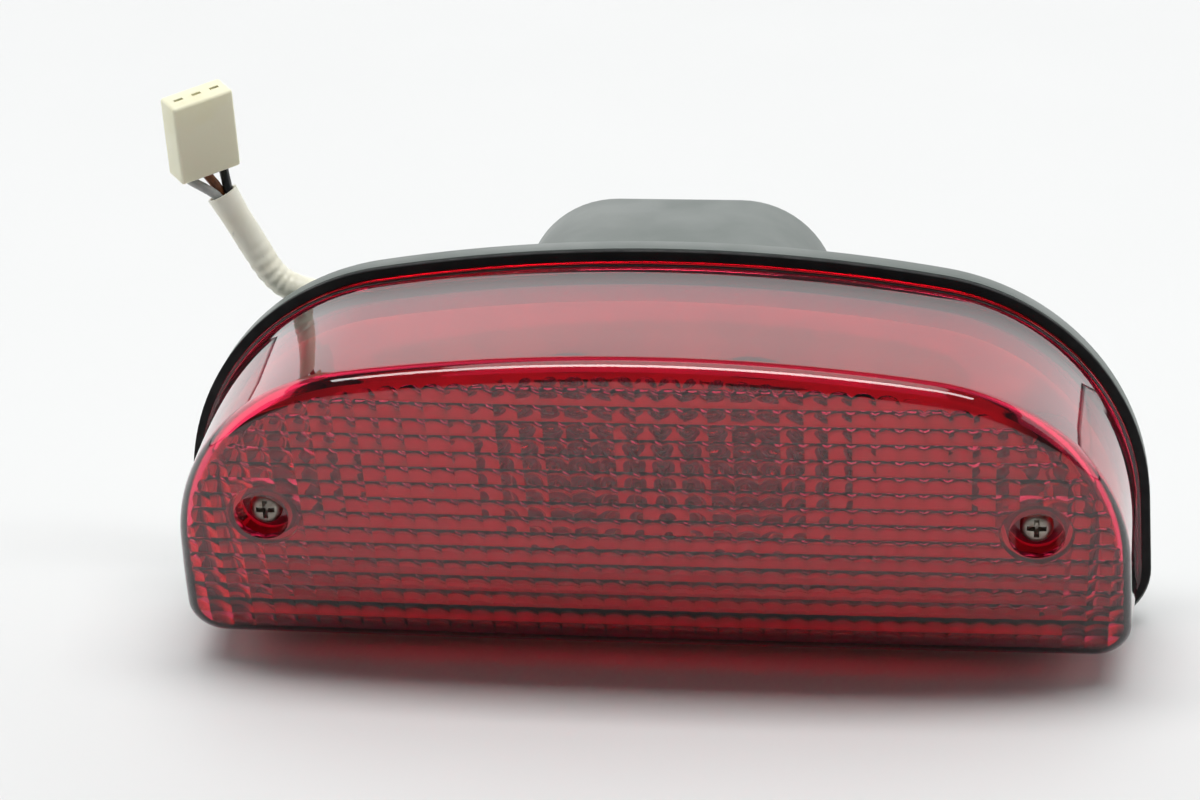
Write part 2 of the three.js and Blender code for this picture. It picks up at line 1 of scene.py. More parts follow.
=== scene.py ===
"""A motorcycle tail light: a deep red ribbed lens on a grey housing, with bayonet bulbs and a short lead.

Lengths are millimetres in the CAD frame unless a comment says otherwise. solid() turns them into metres.
The light shines along -Y. Outlines are lists of (x, z) points, seen from the front, clockwise from the top.
"""
import json
import math

import bmesh
import bpy
from mathutils import Matrix, Vector, noise


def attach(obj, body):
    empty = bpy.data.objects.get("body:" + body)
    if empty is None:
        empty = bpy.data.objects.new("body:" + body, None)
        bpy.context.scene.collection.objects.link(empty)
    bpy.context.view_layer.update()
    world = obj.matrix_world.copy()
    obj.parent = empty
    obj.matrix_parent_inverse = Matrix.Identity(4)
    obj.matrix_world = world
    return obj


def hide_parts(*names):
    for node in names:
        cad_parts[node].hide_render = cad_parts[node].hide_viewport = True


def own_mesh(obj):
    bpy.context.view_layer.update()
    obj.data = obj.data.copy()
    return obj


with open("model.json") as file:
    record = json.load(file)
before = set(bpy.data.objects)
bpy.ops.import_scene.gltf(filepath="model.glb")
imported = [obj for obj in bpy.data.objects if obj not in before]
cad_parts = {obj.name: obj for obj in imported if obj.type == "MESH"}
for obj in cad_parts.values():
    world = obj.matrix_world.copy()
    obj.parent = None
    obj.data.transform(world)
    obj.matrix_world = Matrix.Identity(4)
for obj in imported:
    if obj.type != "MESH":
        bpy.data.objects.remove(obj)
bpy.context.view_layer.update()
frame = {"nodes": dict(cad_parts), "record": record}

MM = 0.001
SIDES = {"left": -1, "right": 1}
WIRE_NAMES = ("grey", "brown", "black")

# The photo's camera, fitted to the lens's optics: place in metres, angles in degrees.
CAMERA_PLACE = (0.07126, -0.64771, 0.33076)
CAMERA_TURN, CAMERA_DOWN, CAMERA_ROLL = 7.48, 22.98, -1.79
CAMERA_SENSOR, CAMERA_LENS = 36, 94.36

# Studio: sizes in metres, radiances in watts per square metre and steradian.
FLOOR_REACH = 3
STRIP_SIZE, STRIP_RADIANCE = (2.4, 0.42), 8.6
SUN_ELEVATION, SUN_STRENGTH, SUN_WIDTH = 100, 0.7, 40
WALL_DISTANCE, WALL_CENTRE_Z, WALL_HEIGHT, WALL_RADIANCE = 1.9, 0.8, 1.5, 1.25

# Steps round a small rounded edge.
BENDS = [math.radians(a) for a in (0, 30, 60, 90)]

# Lens outline, as in the CAD part.
LENS_BOTTOM, LENS_TOP = 5.6, 85.3
ARCH_RADIUS, SHOULDER_RADIUS, CORNER_RADIUS = 380, 51, 9
SHOULDER_START, SHOULDER_END = math.radians(9.5), math.radians(87)

# Lens depths and optics.
FACE_TOP_Y = -55
FACE_RAKE = math.radians(18)
FACE_CURVE = 0.0002  # one over the radius that the face bends to across its width
FACE_CENTRE = (0, 44)
LENS_FRONT, LENS_BACK = -1, 1.4  # the sides widen towards the flange
LENS_WALL = 2.5
RIM_REACH = 4.4
TOP_ROUND, BOTTOM_ROUND = 7, 3.2
ROUND_BLEND = 20  # height over which one becomes the other, each way from the middle
CELL_WIDTH, CELL_HEIGHT = 5, 4.36
CELL_ROW_Z = 17.2
CELL_RADIUS = 4.2
CELL_STEPS = 5
CELL_COLUMNS, CELL_ROWS_DOWN, CELL_ROWS_UP = 22, 3, 16  # columns on each side, rows from CELL_ROW_Z

# Screws, studs and bulbs: places along X and Z, as in the CAD part.
SCREW_X, SCREW_Z = 83.85, 41.35
STUD_X, STUD_Z = 62, 45
BULB_X, BULB_Z = 20, 43

# The screws: the lens's well, boss and hole, and the front of the head.
AHEAD = -60  # a depth in front of everything
WELL_RADIUS, WELL_FLOOR = 6, -32.4
BOSS_RADIUS, BOSS_BACK = 8, -29.5
SCREW_HOLE = 2.3
SCREW_FRONT = -36.2

# The housing: its bowl, its pod, the pillars for the screws, the posts and the sockets' collars.
BOWL_INSET, BOWL_FLOOR = 5.5, 9.3
POD_HALF_WIDTH, POD_TOP, POD_TOP_RADIUS, POD_BOTTOM_RADIUS = 37.5, 84.2, 23, 14
POD_BACK, POD_WALL = 55, 2.7
POD_TAPER, POD_ROUND, POD_INNER_ROUND = 0.4, 4.6, 2.5
PILLAR_RADIUS, PILLAR_FRONT = 6.5, -29.2
POST_X, POST_HEIGHTS = 46, (20, 68)
COLLAR_RADIUS, COLLAR_BORE = 11.2, 9.2
GROMMET_PLACE = (-POD_HALF_WIDTH, 32, 56)
GROMMET_Z = GROMMET_PLACE[2]

# The reflector: its two bowls, and the floor that runs forward inside the lens.
MOUTH_RADIUS, THROAT_RADIUS, MOUTH_Y, THROAT_Y = 17, 9.5, 1, 15
REFLECTOR_FLOOR = ((-90, 90), (-20.2, 1), (9.8, 11.8))

# Studs, nuts and bulbs.
STUD_RADIUS, STUD_HOLE, STUD_END = 3, 3.3, 38
HEX_ACROSS = 10
NUT_FACES = (22.1, 27.1)
NUT_TURN = math.radians(12)
GLOBE_Y = -7
SPRING_RADIUS, SPRING_WIRE, SPRING_FRONT, SPRING_BACK, SPRING_TURNS = 6, 0.5, 36.7, 44.4, 5

# The lead's route, in metres, from the grommet to the sleeve's open end.
SLEEVE_ROUTE = [
    (-0.0406, 0.032, 0.056), (-0.0455, 0.032, 0.0563), (-0.0505, 0.0313, 0.0572), (-0.0555, 0.0298, 0.0587),
    (-0.0605, 0.0276, 0.0608), (-0.0655, 0.025, 0.0633), (-0.0705, 0.0223, 0.066), (-0.0755, 0.0198, 0.0687),
    (-0.0802, 0.018, 0.071), (-0.0848, 0.017, 0.0726), (-0.0887, 0.0168, 0.0745), (-0.0916, 0.0168, 0.0776),
    (-0.0942, 0.017, 0.082), (-0.0968, 0.017, 0.0868), (-0.0993, 0.017, 0.0915), (-0.1016, 0.017, 0.096),
]
SLEEVE_RADIUS, SLEEVE_WALL = 3.4, 0.5
SLEEVE_BORE = 60  # how many of the path's points the open bore runs back over
WIRE_RADIUS, INNER_WIRE_RADIUS = 1.1, 0.9
CONNECTOR = {"width": 15.1, "depth": 6.8, "height": 20, "pitch": 4.5}
CONNECTOR_PLACE = Vector((-105.1, 17, 101.7))
CONNECTOR_TURN = (math.radians(11), math.radians(-7.5), math.radians(41))  # tilt, lean and turn


# ---- camera, floor and light --------------------------------------------------------------------

def make_camera():
    """A long lens, a little above the lamp and to its right, with a slight roll."""
    data = bpy.data.cameras.new("camera")
    data.sensor_width, data.lens = CAMERA_SENSOR, CAMERA_LENS
    data.clip_start, data.clip_end = 0.01, 20
    camera = bpy.data.objects.new("camera", data)
    turn = Matrix.Rotation(math.radians(CAMERA_TURN), 4, "Z")
    tilt = Matrix.Rotation(math.radians(90 - CAMERA_DOWN), 4, "X")
    roll = Matrix.Rotation(math.radians(CAMERA_ROLL), 4, "Z")
    camera.matrix_world = Matrix.Translation(CAMERA_PLACE) @ turn @ tilt @ roll
    bpy.context.scene.collection.objects.link(camera)
    bpy.context.scene.camera = camera


def add_light(name, kind, place, aim, **settings):
    data = bpy.data.lights.new(name, kind)
    for setting, value in settings.items():
        setattr(data, setting, value)
    light = bpy.data.objects.new(name, data)
    light.location = place
    light.rotation_euler = (Vector(aim) - Vector(place)).to_track_quat("-Z", "Y").to_euler()
    bpy.context.scene.collection.objects.link(light)


def panel(name, place, aim, size, radiance):
    """A flat white light of a given brightness, whatever its size."""
    add_light(name, "AREA", place, aim, shape="RECTANGLE", size=size[0], size_y=size[1],
              energy=radiance * math.pi * size[0] * size[1])


def sun(name, elevation, strength, width):
    """A far light in the plane X = 0. An elevation over 90 degrees is behind the lamp."""
    angle = math.radians(elevation)
    add_light(name, "SUN", (0, -math.cos(angle), math.sin(angle)), (0, 0, 0),
              energy=strength, angle=math.radians(width))


def make_studio():
    """A strip and a soft sun overhead, pale walls behind and beside the lamp, and a dark room in front."""
    world = bpy.data.worlds.new("studio")
    bpy.context.scene.world = world
    world.use_nodes = True
    background = world.node_tree.nodes["Background"]
    background.inputs["Color"].default_value = (0.9, 0.95, 1, 1)
    background.inputs["Strength"].default_value = 0.1
    panel("overhead_strip", (0, -0.22, 1.85), (0, 0, 0.05), STRIP_SIZE, STRIP_RADIANCE)
    sun("overhead", SUN_ELEVATION, SUN_STRENGTH, SUN_WIDTH)
    z = WALL_CENTRE_Z
    panel("wall_back", (0, WALL_DISTANCE, z), (0, 0, z), (3.2, WALL_HEIGHT), WALL_RADIANCE)
    for name, side in SIDES.items():
        panel(f"wall_{name}", (side * WALL_DISTANCE, 0.8, z), (0, 0.282, z), (2.28, WALL_HEIGHT), WALL_RADIANCE)
    bpy.context.scene.view_settings.view_transform = "Standard"

    mesh = bpy.data.meshes.new("floor")
    shape = bmesh.new()
    bmesh.ops.create_grid(shape, x_segments=8, y_segments=8, size=FLOOR_REACH)
    shape.to_mesh(mesh)
    shape.free()
    floor = bpy.data.objects.new("floor", mesh)
    bpy.context.scene.collection.objects.link(floor)
    paint = Paint("floor_white", (0.8, 0.805, 0.8), 0.7)
    paint.roughness_noise(9, 0.6, 0.8)
    mesh.materials.append(paint.material)


# ---- materials ----------------------------------------------------------------------------------

class Paint:
    """A Principled material whose colour, roughness and bump can each take a noise pattern."""

    def __init__(self, name, colour, roughness, **sockets):
        self.material = bpy.data.materials.new(name)
        self.material.use_nodes = True
        self.tree = self.material.node_tree
        self.shader = self.tree.nodes["Principled BSDF"]
        self.shader.inputs["Base Color"].default_value = (*colour, 1)
        self.shader.inputs["Roughness"].default_value = roughness
        for socket, value in sockets.items():
            self.shader.inputs[socket.replace("_", " ").title().replace("Ior", "IOR")].default_value = value
        self.shader.inputs["Subsurface Radius"].default_value = (1, 0.95, 0.8)
        self.colour = colour
        self.normal = None
        self.place = self.tree.nodes.new("ShaderNodeTexCoord").outputs["Object"]

    def link(self, source, target):
        self.tree.links.new(source, target)

    def pattern(self, per_metre, detail=3, distortion=0.0, stretch=(1, 1, 1)):
        """Noise in object space. per_metre is how many blobs fit in a metre."""
        mapping = self.tree.nodes.new("ShaderNodeMapping")
        mapping.inputs["Scale"].default_value = stretch
        self.link(self.place, mapping.inputs["Vector"])
        texture = self.tree.nodes.new("ShaderNodeTexNoise")
        texture.inputs["Scale"].default_value = per_metre
        texture.inputs["Detail"].default_value = detail
        texture.inputs["Distortion"].default_value = distortion
        self.link(mapping.outputs["Vector"], texture.inputs["Vector"])
        return texture.outputs["Fac"]

    def between(self, source, low, high, to_low=0.0, to_high=1.0):
        """Maps a value from one range to another, and holds it inside."""
        ranged = self.tree.nodes.new("ShaderNodeMapRange")
        for name, value in zip(("From Min", "From Max", "To Min", "To Max"), (low, high, to_low, to_high)):
            ranged.inputs[name].default_value = value
        self.link(source, ranged.inputs["Value"])
        return ranged.outputs["Result"]

    def stain(self, colour, per_metre, low=0.45, high=0.65, share=1.0, **shape):
        """Blends a second colour in where the noise is high. Later stains lie over earlier ones."""
        mix = self.tree.nodes.new("ShaderNodeMix")
        mix.data_type = "RGBA"
        base = self.shader.inputs["Base Color"]
        if base.is_linked:
            self.link(base.links[0].from_socket, mix.inputs["A"])
        else:
            mix.inputs["A"].default_value = (*self.colour, 1)
        mix.inputs["B"].default_value = (*colour, 1)
        self.link(self.between(self.pattern(per_metre, **shape), low, high, 0, share), mix.inputs["Factor"])
        self.link(mix.outputs["Result"], base)
        return self

    def roughness_noise(self, per_metre, low, high, **shape):
        self.link(self.between(self.pattern(per_metre, **shape), 0.35, 0.65, low, high),
                  self.shader.inputs["Roughness"])
        return self

    def bump(self, per_metre, depth_mm, detail=3, **shape):
        node = self.tree.nodes.new("ShaderNodeBump")
        node.inputs["Distance"].default_value = depth_mm * MM
        self.link(self.pattern(per_metre, detail, **shape), node.inputs["Height"])
        if self.normal:
            self.link(self.normal, node.inputs["Normal"])
        self.normal = node.outputs["Normal"]
        self.link(self.normal, self.shader.inputs["Normal"])
        return self


def make_paints():
    paints = {
        "lens": Paint("red_acrylic", (0.8, 0.025, 0.09), 0.02, ior=1.49, transmission_weight=1.0,
                      coat_weight=0.5, coat_roughness=0.04)
        .bump(9000, 0.0004, stretch=(1, 1, 0.15)),
        "gasket": Paint("gasket_rubber", (0.006, 0.006, 0.0065), 0.6, specular_ior_level=0.25)
        .stain((0.012, 0.012, 0.012), 120).roughness_noise(300, 0.5, 0.7).bump(2500, 0.02),
        "housing": Paint("grey_abs", (0.165, 0.187, 0.175), 0.5)
        .stain((0.195, 0.215, 0.203), 25, detail=5).roughness_noise(60, 0.42, 0.58).bump(3500, 0.035),
        "reflector": Paint("metallised", (0.9, 0.9, 0.9), 0.4, metallic=0.8)
        .roughness_noise(80, 0.3, 0.46).bump(300, 0.02),
        "steel": Paint("worn_zinc", (0.33, 0.3, 0.26), 0.4, metallic=1.0)
        .stain((0.2, 0.16, 0.12), 900, 0.5, 0.7, 0.8, detail=6)
        .roughness_noise(700, 0.28, 0.6, detail=5).bump(4000, 0.02),
        "bright_steel": Paint("spring_steel", (0.55, 0.54, 0.52), 0.3, metallic=1.0)
        .roughness_noise(900, 0.22, 0.42),
        "brass": Paint("brass", (0.86, 0.7, 0.38), 0.4, metallic=0.85)
        .stain((0.35, 0.24, 0.1), 500, detail=5, share=0.7).roughness_noise(600, 0.22, 0.45),
        "glass": Paint("bulb_glass", (0.98, 0.985, 0.99), 0.01, ior=1.5, transmission_weight=1.0)
        .bump(150, 0.01),
        "bulb_mount": Paint("tungsten", (0.5, 0.5, 0.52), 0.35, metallic=1.0)
        .roughness_noise(2000, 0.25, 0.5),
        "insulator": Paint("phenolic", (0.16, 0.07, 0.035), 0.5)
        .stain((0.3, 0.15, 0.07), 900, detail=6).roughness_noise(500, 0.4, 0.65).bump(3000, 0.02),
        "rubber": Paint("black_rubber", (0.015, 0.015, 0.016), 0.55)
        .roughness_noise(400, 0.45, 0.7).bump(3000, 0.02),
        "sleeve": Paint("cream_pvc", (0.985, 0.965, 0.8), 0.36,
                        subsurface_weight=0.15, subsurface_scale=0.003)
        .stain((0.93, 0.89, 0.7), 90, detail=5, share=0.8)
        .stain((0.3, 0.29, 0.28), 160, 0.66, 0.74, 0.7, detail=6)
        .roughness_noise(200, 0.28, 0.5).bump(420, 0.06, detail=4),
        "nylon": Paint("ivory_nylon", (0.99, 0.965, 0.72), 0.38,
                       subsurface_weight=0.15, subsurface_scale=0.004)
        .stain((0.96, 0.9, 0.58), 60, detail=4, share=0.7).roughness_noise(300, 0.3, 0.5).bump(1500, 0.02),
    }
    for name, colour, patch in (
        ("grey", (0.36, 0.37, 0.36), (0.5, 0.5, 0.48)),
        ("brown", (0.13, 0.045, 0.02), (0.3, 0.1, 0.03)),
        ("black", (0.012, 0.012, 0.013), (0.03, 0.03, 0.03)),
    ):
        paint = Paint(f"pvc_{name}", colour, 0.35)
        paints[f"wire_{name}"] = paint.stain(patch, 250, detail=4).roughness_noise(400, 0.25, 0.45)
    return {slot: paint.material for slot, paint in paints.items()}


# ---- meshes -------------------------------------------------------------------------------------

def solid(vertices, faces):
    """A closed mesh object from millimetre points. Doubled points are merged and faces turned out."""
    mesh = bpy.data.meshes.new("solid")
    mesh.from_pydata([Vector(v) * MM for v in vertices], [], faces)
    shape = bmesh.new()
    shape.from_mesh(mesh)
    bmesh.ops.remove_doubles(shape, verts=shape.verts, dist=1e-7)
    bmesh.ops.recalc_face_normals(shape, faces=shape.faces)
    shape.to_mesh(mesh)
    shape.free()
    obj = bpy.data.objects.new("solid", mesh)
    bpy.context.scene.collection.objects.link(obj)
    return obj


def apply_modifiers(obj):
    graph = bpy.context.evaluated_depsgraph_get()
    mesh = bpy.data.meshes.new_from_object(obj.evaluated_get(graph))
    obj.modifiers.clear()
    old, obj.data = obj.data, mesh
    bpy.data.meshes.remove(old)
    return obj


def combine(operation, body, *tools):
    """Joins tools to a body, cuts them from it, or keeps what they share. The tools are used up."""
    for tool in tools:
        modifier = body.modifiers.new("boolean", "BOOLEAN")
        modifier.operation, modifier.solver, modifier.object = operation, "EXACT", tool
        apply_modifiers(body)
        bpy.data.objects.remove(tool)
    return body


def join(body, *tools):
    return combine("UNION", body, *tools)


def cut(body, *tools):
    return combine("DIFFERENCE", body, *tools)


def dress(obj, name, paint, body, *nodes, sharp=32):
    """Names, paints and shades a piece, and puts it on its body in place of CAD nodes."""
    obj.name = obj.data.name = name
    obj.data.materials.clear()
    obj.data.materials.append(PAINTS[paint])
    for face in obj.data.polygons:
        face.use_smooth = True
    obj.data.set_sharp_from_angle(angle=math.radians(sharp))
    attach(obj, body)
    if nodes:
        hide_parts(*nodes)
    return obj


def loft(rings, loop=False):
    """Skins equal rings of points. The ends are capped, unless the last ring runs on into the first."""
    count = len(rings[0])
    vertices = [point for ring in rings for point in ring]
    faces = []
    for level in range(len(rings) if loop else len(rings) - 1):
        here, there = level * count, (level + 1) % len(rings) * count
        for i in range(count):
            j = (i + 1) % count
            faces.append((here + i, here + j, there + j, there + i))
    if not loop:
        faces += [tuple(range(count)), tuple(range(len(vertices) - 1, len(vertices) - count - 1, -1))]
    return solid(vertices, faces)


def lathe(profile, x, z, sides=48, loop=False):
    """A profile of (radius, y) points turned about a line along Y."""
    rings = []
    for radius, y in profile:
        angles = [2 * math.pi * i / sides for i in range(sides)]
        rings.append([(x + radius * math.cos(a), y, z + radius * math.sin(a)) for a in angles])
    return loft(rings, loop)


def rod(radius, x, z, y_front, y_back, sides=32, edge=0.0):
    """A cylinder along Y, with its edges rounded by edge."""
    if not edge:
        return lathe([(radius, y_front), (radius, y_back)], x, z, sides)
    front = [(radius - edge + edge * math.sin(a), y_front + edge - edge * math.cos(a)) for a in BENDS]
    back = [(radius - edge + edge * math.cos(a), y_back - edge + edge * math.sin(a)) for a in BENDS]
    return lathe(front + back, x, z, sides)


def box(x, y, z):
    """A box between pairs of limits."""
    outline = [(x[0], z[0]), (x[1], z[0]), (x[1], z[1]), (x[0], z[1])]
    return loft([[(a, depth, b) for a, b in outline] for depth in y])


def swing(obj, turn, place):
    """Turns a piece made at the origin about Z, then moves it to its place."""
    obj.data.transform(Matrix.Rotation(turn, 4, "Z"))
    obj.data.transform(Matrix.Translation(Vector(place) * MM))
    return obj


def smooth_path(points, steps):
    """Points along a Catmull-Rom curve through the given ones, with steps between each pair."""
    knots = [Vector(p) for p in points]
    knots = [2 * knots[0] - knots[1]] + knots + [2 * knots[-1] - knots[-2]]
    path = []
    for a, b, c, d in zip(knots, knots[1:], knots[2:], knots[3:]):
        for i in range(steps):
            t = i / steps
            path.append(0.5 * (2 * b + (c - a) * t + (2 * a - 5 * b + 4 * c - d) * t**2
                               + (3 * b - a - 3 * c + d) * t**3))
    return path + [knots[-2]]


def frames_along(path):
    """An (across, up) pair of directions for each point of a path, carried along it without twist."""
    pairs = []
    across = Vector((0, 0, 1)).cross(path[1] - path[0]).normalized()
    for i, point in enumerate(path):
        tangent = (path[min(i + 1, len(path) - 1)] - path[max(i - 1, 0)]).normalized()
        across = (across - tangent * across.dot(tangent)).normalized()
        pairs.append((across, tangent.cross(across)))
    return pairs


def sweep(path, radius, sides=12):
    """The rings of a tube along a path. radius is a length, or a function of (place along, angle round)."""
    size = radius if callable(radius) else lambda along, angle: radius
    rings = []
    for i, (point, (across, up)) in enumerate(zip(path, frames_along(path))):
        ring = []
        for k in range(sides):
            angle = 2 * math.pi * k / sides
            reach = size(i / (len(path) - 1), angle)
            ring.append(point + (across * math.cos(angle) + up * math.sin(angle)) * reach)
        rings.append(ring)
    return rings


def tube(path, radius, sides=12):
    return loft(sweep(path, radius, sides))


# ---- outlines -----------------------------------------------------------------------------------

def around(centre, angle, radius):
    """The point at an angle from the top, clockwise, on a circle."""
    return (centre[0] + radius * math.sin(angle), centre[1] + radius * math.cos(angle))


def arc(centre, radius, start, end, steps):
    return [around(centre, start + (end - start) * i / steps, radius) for i in range(steps + 1)]


def between(a, b, steps):
    """Points inside the straight stretch from a to b, without its ends."""
    return [(a[0] + (b[0] - a[0]) * i / steps, a[1] + (b[1] - a[1]) * i / steps) for i in range(1, steps)]


def mirrored(half):
    """A right half with its left half added. Points on the middle line aren't doubled."""
    return half + [(-x, z) for x, z in reversed(half) if x > 1e-6]


def lens_outline(offset):
    """The lens seen from the front, grown outwards by offset."""
    arch = (0, LENS_TOP - ARCH_RADIUS)
    shoulder = around(arch, SHOULDER_START, ARCH_RADIUS - SHOULDER_RADIUS)
    side = around(shoulder, SHOULDER_END, SHOULDER_RADIUS - CORNER_RADIUS)
    corner_z = LENS_BOTTOM + CORNER_RADIUS
    corner = (side[0] + (side[1] - corner_z) / math.tan(SHOULDER_END), corner_z)
    top = arc(arch, ARCH_RADIUS + offset, 0, SHOULDER_START, 12)
    turn = arc(shoulder, SHOULDER_RADIUS + offset, SHOULDER_START, SHOULDER_END, 30)
    foot = arc(corner, CORNER_RADIUS + offset, SHOULDER_END, math.pi, 12)
    bottom = (0, LENS_BOTTOM - offset)
    side_line, bottom_line = between(turn[-1], foot[0], 5), between(foot[-1], bottom, 14)
    return mirrored(top + turn[1:] + side_line + foot + bottom_line + [bottom])


def rim_outline(reach):
    """The lens outline stretched down from its top, so that the rim stands on the ground."""
    top = LENS_TOP + RIM_REACH
    stretch = top / (top - LENS_BOTTOM + RIM_REACH)
    return [(x, top - (top - z) * stretch) for x, z in lens_outline(reach)]


def pod_outline(offset):
    """The rear pod seen from the front, grown outwards by offset."""
    upper = (POD_HALF_WIDTH - POD_TOP_RADIUS, POD_TOP - POD_TOP_RADIUS)
    lower = (POD_HALF_WIDTH - POD_BOTTOM_RADIUS, POD_BOTTOM_RADIUS)
    return mirrored(
        [(0, POD_TOP + offset)]
        + arc(upper, POD_TOP_RADIUS + offset, 0, math.pi / 2, 16)
        + arc(lower, POD_BOTTOM_RADIUS + offset, math.pi / 2, math.pi, 12)
        + [(0, -offset)]
    )


def at(outline, y):
    """An outline as a ring of points at a depth, which is a number or a function of (x, z)."""
    depth = y if callable(y) else lambda x, z: y
    return [(x, depth(x, z), z) for x, z in outline]


def prism(outline, y_front, y_back):
    return loft([at(outline, y_front), at(outline, y_back)])


def face_y(x, z):
    """Depth of the lens face."""
    return FACE_TOP_Y + (LENS_TOP - z) * math.tan(FACE_RAKE) + FACE_CURVE * x * x / 2


# ---- lens ---------------------------------------------------------------------------------------

def rounded_edge(inset, steps):
    """Rings round the edge between the lens's side and its face, or of a surface inset behind them."""
    outline, next_outline = (lens_outline(LENS_FRONT - inset - step) for step in (0, 1))
    middle = sum(z for _, z in outline) / len(outline)
    rings = []
    for i in range(steps + 1):
        bend = math.pi / 2 * i / steps
        ring = []
        for (x0, z0), (x1, z1) in zip(outline, next_outline):
            upper = (min(max((z0 - middle) / ROUND_BLEND, -1), 1) + 1) / 2
            size = BOTTOM_ROUND + (TOP_ROUND - BOTTOM_ROUND) * upper - inset
            inward = size * (1 - math.cos(bend))
            x, z = x0 + (x1 - x0) * inward, z0 + (z1 - z0) * inward
            ring.append((x, face_y(x, z) + inset + size * (1 - math.sin(bend)), z))
        rings.append(ring)
    return rings


def lens_body():
    """The lens's outside: flange, flared skirt, rounded edge and face, as one solid block."""
    flange = [at(lens_outline(reach), y) for reach, y in (
        (1.8, 0), (2.02, -0.08), (2.1, -0.3), (2.1, -1.5), (2.02, -1.72), (1.8, -1.8),
        (1.45, -1.82), (1.36, -1.88), (1.32, -2),
    )]
    edge = rounded_edge(0, 9)
    start = flange[-1]
    skirt = [[tuple(a[k] + (b[k] - a[k]) * s for k in range(3)) for a, b in zip(start, edge[0])]
             for s in (0.2, 0.4, 0.6, 0.8)]
    last = edge[-1]
    cx, cz = FACE_CENTRE
    face = []
    for share in (0.97, 0.9, 0.8, 0.68, 0.55, 0.42, 0.3, 0.18, 0.07):
        points = [(cx + (x - cx) * share, cz + (z - cz) * share) for x, _, z in last]
        face.append([(x, face_y(x, z), z) for x, z in points])
    return loft(flange + skirt + edge + face)


def cell_depth(x, z):
    """Depth of the lens's inner surface, with one pillow in each cell of the optics."""
    across = (x / CELL_WIDTH) % 1 * 2 - 1
    up = ((z - CELL_ROW_Z) / CELL_HEIGHT) % 1 * 2 - 1
    bulge = (CELL_WIDTH**2 * (1 - across**2) + CELL_HEIGHT**2 * (1 - up**2)) / (8 * CELL_RADIUS)
    return face_y(x, z) + LENS_WALL + bulge


def lens_hollow():
    """The space inside the lens, whose front is the pillowed surface."""
    across = range(-CELL_COLUMNS * CELL_STEPS, CELL_COLUMNS * CELL_STEPS + 1)
    up = range(-CELL_ROWS_DOWN * CELL_STEPS, CELL_ROWS_UP * CELL_STEPS + 1)
    xs = [CELL_WIDTH * i / CELL_STEPS for i in across]
    zs = [CELL_ROW_Z + CELL_HEIGHT * i / CELL_STEPS for i in up]
    vertices = [(x, cell_depth(x, z), z) for z in zs for x in xs]
    width, height = len(xs), len(zs)
    faces = [(r * width + c, r * width + c + 1, (r + 1) * width + c + 1, (r + 1) * width + c)
             for r in range(height - 1) for c in range(width - 1)]
    rim = list(range(width)) + [r * width + width - 1 for r in range(1, height)]
    rim += [(height - 1) * width + c for c in range(width - 2, -1, -1)]
    rim += [r * width for r in range(height - 2, 0, -1)]
    back, behind = len(vertices), 20
    vertices += [(vertices[i][0], behind, vertices[i][2]) for i in rim]
    for k, i in enumerate(rim):
        n = (k + 1) % len(rim)
        faces.append((rim[n], i, back + k, back + n))
    faces.append(tuple(range(back, back + len(rim))))
    block = solid(vertices, faces)
    edge = rounded_edge(LENS_WALL, 5)
    inside = loft([at(lens_outline(LENS_BACK - LENS_WALL), 0.5)] + edge)
    return combine("INTERSECT", block, inside)


def make_lens():
    """The lens with its hollow. Each screw has a well in front, a boss round it and a hole through."""
    hollow = lens_hollow()
    tools = []
    for x in (-SCREW_X, SCREW_X):
        hollow = cut(hollow, rod(BOSS_RADIUS, x, SCREW_Z, AHEAD, BOSS_BACK, 48, 0.8))
        tools.append(rod(WELL_RADIUS, x, SCREW_Z, AHEAD, WELL_FLOOR, 48))
        tools.append(rod(SCREW_HOLE, x, SCREW_Z, AHEAD, 1, 32))
    lens = cut(lens_body(), hollow, *tools)
    dress(lens, "red_lens", "lens", "root", "lens", sharp=22)


# ---- gasket, housing and reflector --------------------------------------------------------------

def rounded_band(outer, inner, front, back, edge):
    """A flat ring between two offsets of the lens outline, with rounded edges."""
    section = [(outer - edge + edge * math.sin(a), front + edge - edge * math.cos(a)) for a in BENDS]
    section += [(outer - edge + edge * math.cos(a), back - edge + edge * math.sin(a)) for a in BENDS]
    section += [(inner + edge - edge * math.sin(a), back - edge + edge * math.cos(a)) for a in BENDS]
    section += [(inner + edge - edge * math.cos(a), front + edge - edge * math.sin(a)) for a in BENDS]
    return loft([at(lens_outline(offset), y) for offset, y in section], loop=True)


def make_gasket():
    band = rounded_band(outer=4.2, inner=-2, front=0.3, back=1.5, edge=0.25)
    dress(band, "rim_gasket", "gasket", "root", "lens_gasket")


def housing_block():
    """Rim and bowl as one solid block. The rim has a lip that runs back round its edge."""
    rim = [at(rim_outline(reach), y) for reach, y in (
        (4.2, 1.8), (4.35, 1.86), (RIM_REACH, 2), (RIM_REACH, 6.3), (4.3, 6.65), (4, 6.8),
        (2.6, 6.8), (2.4, 6.6), (2.4, 4.8), (2.2, 4.6),
    )]
    bowl = [at(lens_outline(reach), y) for reach, y in (
        (-1.2, 4.6), (-2.0, 4.85), (-2.4, 5.4), (-2.5, 6.2), (-2.7, 10.4), (-2.95, 11.3), (-3.5, 11.85),
        (-4.3, 12),
    )]
    return loft(rim + bowl)


def pod_back_edge(offset, radius, y_start, steps):
    """(offset, y) pairs round a back edge of the pod, from the end of its wall on."""
    bends = [math.pi / 2 * i / steps for i in range(steps + 1)]
    return [(offset - radius * (1 - math.cos(a)), y_start + radius * math.sin(a)) for a in bends]


